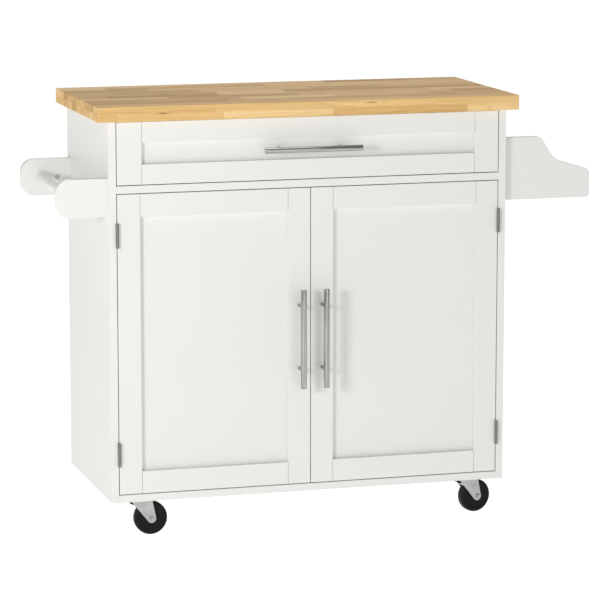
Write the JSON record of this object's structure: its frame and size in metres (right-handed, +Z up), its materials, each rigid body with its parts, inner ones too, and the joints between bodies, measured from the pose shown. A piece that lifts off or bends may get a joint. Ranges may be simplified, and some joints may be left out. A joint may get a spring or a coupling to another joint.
{
  "type": "kitchen island cart",
  "caption": "Rolling kitchen cabinet with a wooden worktop, framed doors and drawer, a towel rail on one side and a scalloped spice rack on the other.",
  "frame": {"origin": "on the floor, under the middle of the whole cart with its racks and handles", "axes": "+X to the right seen from the front, +Y to the back (doors face -Y), +Z up"},
  "size_m": [1.11, 0.426, 0.87],
  "materials": {
    "oiled_wood": "finger-jointed solid wood staves, clear satin oil",
    "white_paint": "fibreboard with smooth satin white paint",
    "brushed_steel": "brushed along the bar, satin",
    "zinc_plate": "bright zinc plating on pressed or turned steel",
    "satin_nickel": "satin nickel plating",
    "black_wheel": "moulded black polymer, satin",
    "catch_plastic": "white moulded plastic",
    "dowel_wood": "fluted beech, unfinished"
  },
  "bodies": {
    "root": {"worktop": "oiled_wood", "side_panel_left": "white_paint", "side_panel_right": "white_paint", "bottom_panel": "white_paint", "divider_panel": "white_paint", "back_panel": "white_paint", "top_rails": "white_paint", "shelf": "white_paint", "shelf_pins": "zinc_plate", "magnetic_catches": "catch_plastic", "cabinet_fixings": "zinc_plate", "hinge_leaves_fixed": "satin_nickel", "hinge_pins": "satin_nickel", "caster_plates": "zinc_plate", "caster_screws": "zinc_plate", "towel_rack_front_arm": "white_paint", "towel_rack_back_arm": "white_paint", "towel_rail": "white_paint", "spice_rack_front_end": "white_paint", "spice_rack_back_end": "white_paint", "spice_rack_base": "white_paint", "spice_rack_rail": "white_paint", "rack_fixings": "zinc_plate", "rack_dowels": "dowel_wood", "slide_outer_members": "zinc_plate"},
    "drawer": {"drawer_front_frame": "white_paint", "drawer_front_panel": "white_paint", "drawer_sides": "white_paint", "drawer_back": "white_paint", "drawer_bottom": "white_paint", "drawer_handle": "brushed_steel", "drawer_screws": "zinc_plate", "slide_inner_members": "zinc_plate"},
    "slide_middle": {"slide_middle_members": "zinc_plate"},
    "door_left": {"door_left_frame": "white_paint", "door_left_panel": "white_paint", "door_left_handle": "brushed_steel", "door_left_screws": "zinc_plate", "door_left_hinge_leaves": "satin_nickel", "door_left_strike_plate": "zinc_plate"},
    "door_right": {"door_right_frame": "white_paint", "door_right_panel": "white_paint", "door_right_handle": "brushed_steel", "door_right_screws": "zinc_plate", "door_right_hinge_leaves": "satin_nickel", "door_right_strike_plate": "zinc_plate"},
    "caster_front_left_swivel": {"caster_front_left_fork": "zinc_plate", "caster_front_left_axle": "zinc_plate"},
    "caster_front_left_wheel": {"caster_front_left_wheel": "black_wheel"},
    "caster_front_right_swivel": {"caster_front_right_fork": "zinc_plate", "caster_front_right_axle": "zinc_plate"},
    "caster_front_right_wheel": {"caster_front_right_wheel": "black_wheel"},
    "caster_rear_left_swivel": {"caster_rear_left_fork": "zinc_plate", "caster_rear_left_axle": "zinc_plate"},
    "caster_rear_left_wheel": {"caster_rear_left_wheel": "black_wheel"},
    "caster_rear_right_swivel": {"caster_rear_right_fork": "zinc_plate", "caster_rear_right_axle": "zinc_plate"},
    "caster_rear_right_wheel": {"caster_rear_right_wheel": "black_wheel"},
    "caster_front_left_brake": {"caster_front_left_brake_lever": "zinc_plate"},
    "caster_front_right_brake": {"caster_front_right_brake_lever": "zinc_plate"}
  },
  "joints": [
    {"name": "drawer_travel", "type": "slide", "parent": "root", "child": "drawer", "axis": [0, -1, 0], "range_m": [0, 0.3]},
    {"name": "slide_middle_travel", "type": "slide", "parent": "root", "child": "slide_middle", "axis": [0, -1, 0], "range_m": [0, 0.15]},
    {"name": "door_left_hinge", "type": "hinge", "parent": "root", "child": "door_left", "pos_m": [-0.4362, -0.1774, 0.3966], "axis": [0, 0, -1], "range_deg": [0, 170]},
    {"name": "door_right_hinge", "type": "hinge", "parent": "root", "child": "door_right", "pos_m": [0.3532, -0.1774, 0.3966], "axis": [0, 0, 1], "range_deg": [0, 170]},
    {"name": "caster_front_left_turn", "type": "hinge", "parent": "root", "child": "caster_front_left_swivel", "pos_m": [-0.3865, -0.119, 0.0737], "axis": [0, 0, 1], "continuous": true},
    {"name": "caster_front_left_roll", "type": "hinge", "parent": "caster_front_left_swivel", "child": "caster_front_left_wheel", "pos_m": [-0.3615, -0.119, 0.034], "axis": [0, 1, 0], "continuous": true},
    {"name": "caster_front_left_brake_press", "type": "hinge", "parent": "caster_front_left_swivel", "child": "caster_front_left_brake", "pos_m": [-0.3845, -0.119, 0.0655], "axis": [0, -1, 0], "range_deg": [0, 16]},
    {"name": "caster_front_right_turn", "type": "hinge", "parent": "root", "child": "caster_front_right_swivel", "pos_m": [0.3035, -0.119, 0.0737], "axis": [0, 0, 1], "continuous": true},
    {"name": "caster_front_right_roll", "type": "hinge", "parent": "caster_front_right_swivel", "child": "caster_front_right_wheel", "pos_m": [0.32795, -0.1138, 0.034], "axis": [-0.2079, 0.9781, 0], "continuous": true},
    {"name": "caster_front_right_brake_press", "type": "hinge", "parent": "caster_front_right_swivel", "child": "caster_front_right_brake", "pos_m": [0.30546, -0.11858, 0.0655], "axis": [0.2079, -0.9781, 0], "range_deg": [0, 16]},
    {"name": "caster_rear_left_turn", "type": "hinge", "parent": "root", "child": "caster_rear_left_swivel", "pos_m": [-0.3865, 0.158, 0.0737], "axis": [0, 0, 1], "continuous": true},
    {"name": "caster_rear_left_roll", "type": "hinge", "parent": "caster_rear_left_swivel", "child": "caster_rear_left_wheel", "pos_m": [-0.36164, 0.16061, 0.034], "axis": [-0.1045, 0.9945, 0], "continuous": true},
    {"name": "caster_rear_right_turn", "type": "hinge", "parent": "root", "child": "caster_rear_right_swivel", "pos_m": [0.3035, 0.158, 0.0737], "axis": [0, 0, 1], "continuous": true},
    {"name": "caster_rear_right_roll", "type": "hinge", "parent": "caster_rear_right_swivel", "child": "caster_rear_right_wheel", "pos_m": [0.32699, 0.16655, 0.034], "axis": [-0.342, 0.9397, 0], "continuous": true}
  ],
  "couplings": [
    {"joint": "slide_middle_travel", "follows": "drawer_travel", "ratio": 0.5}
  ]
}
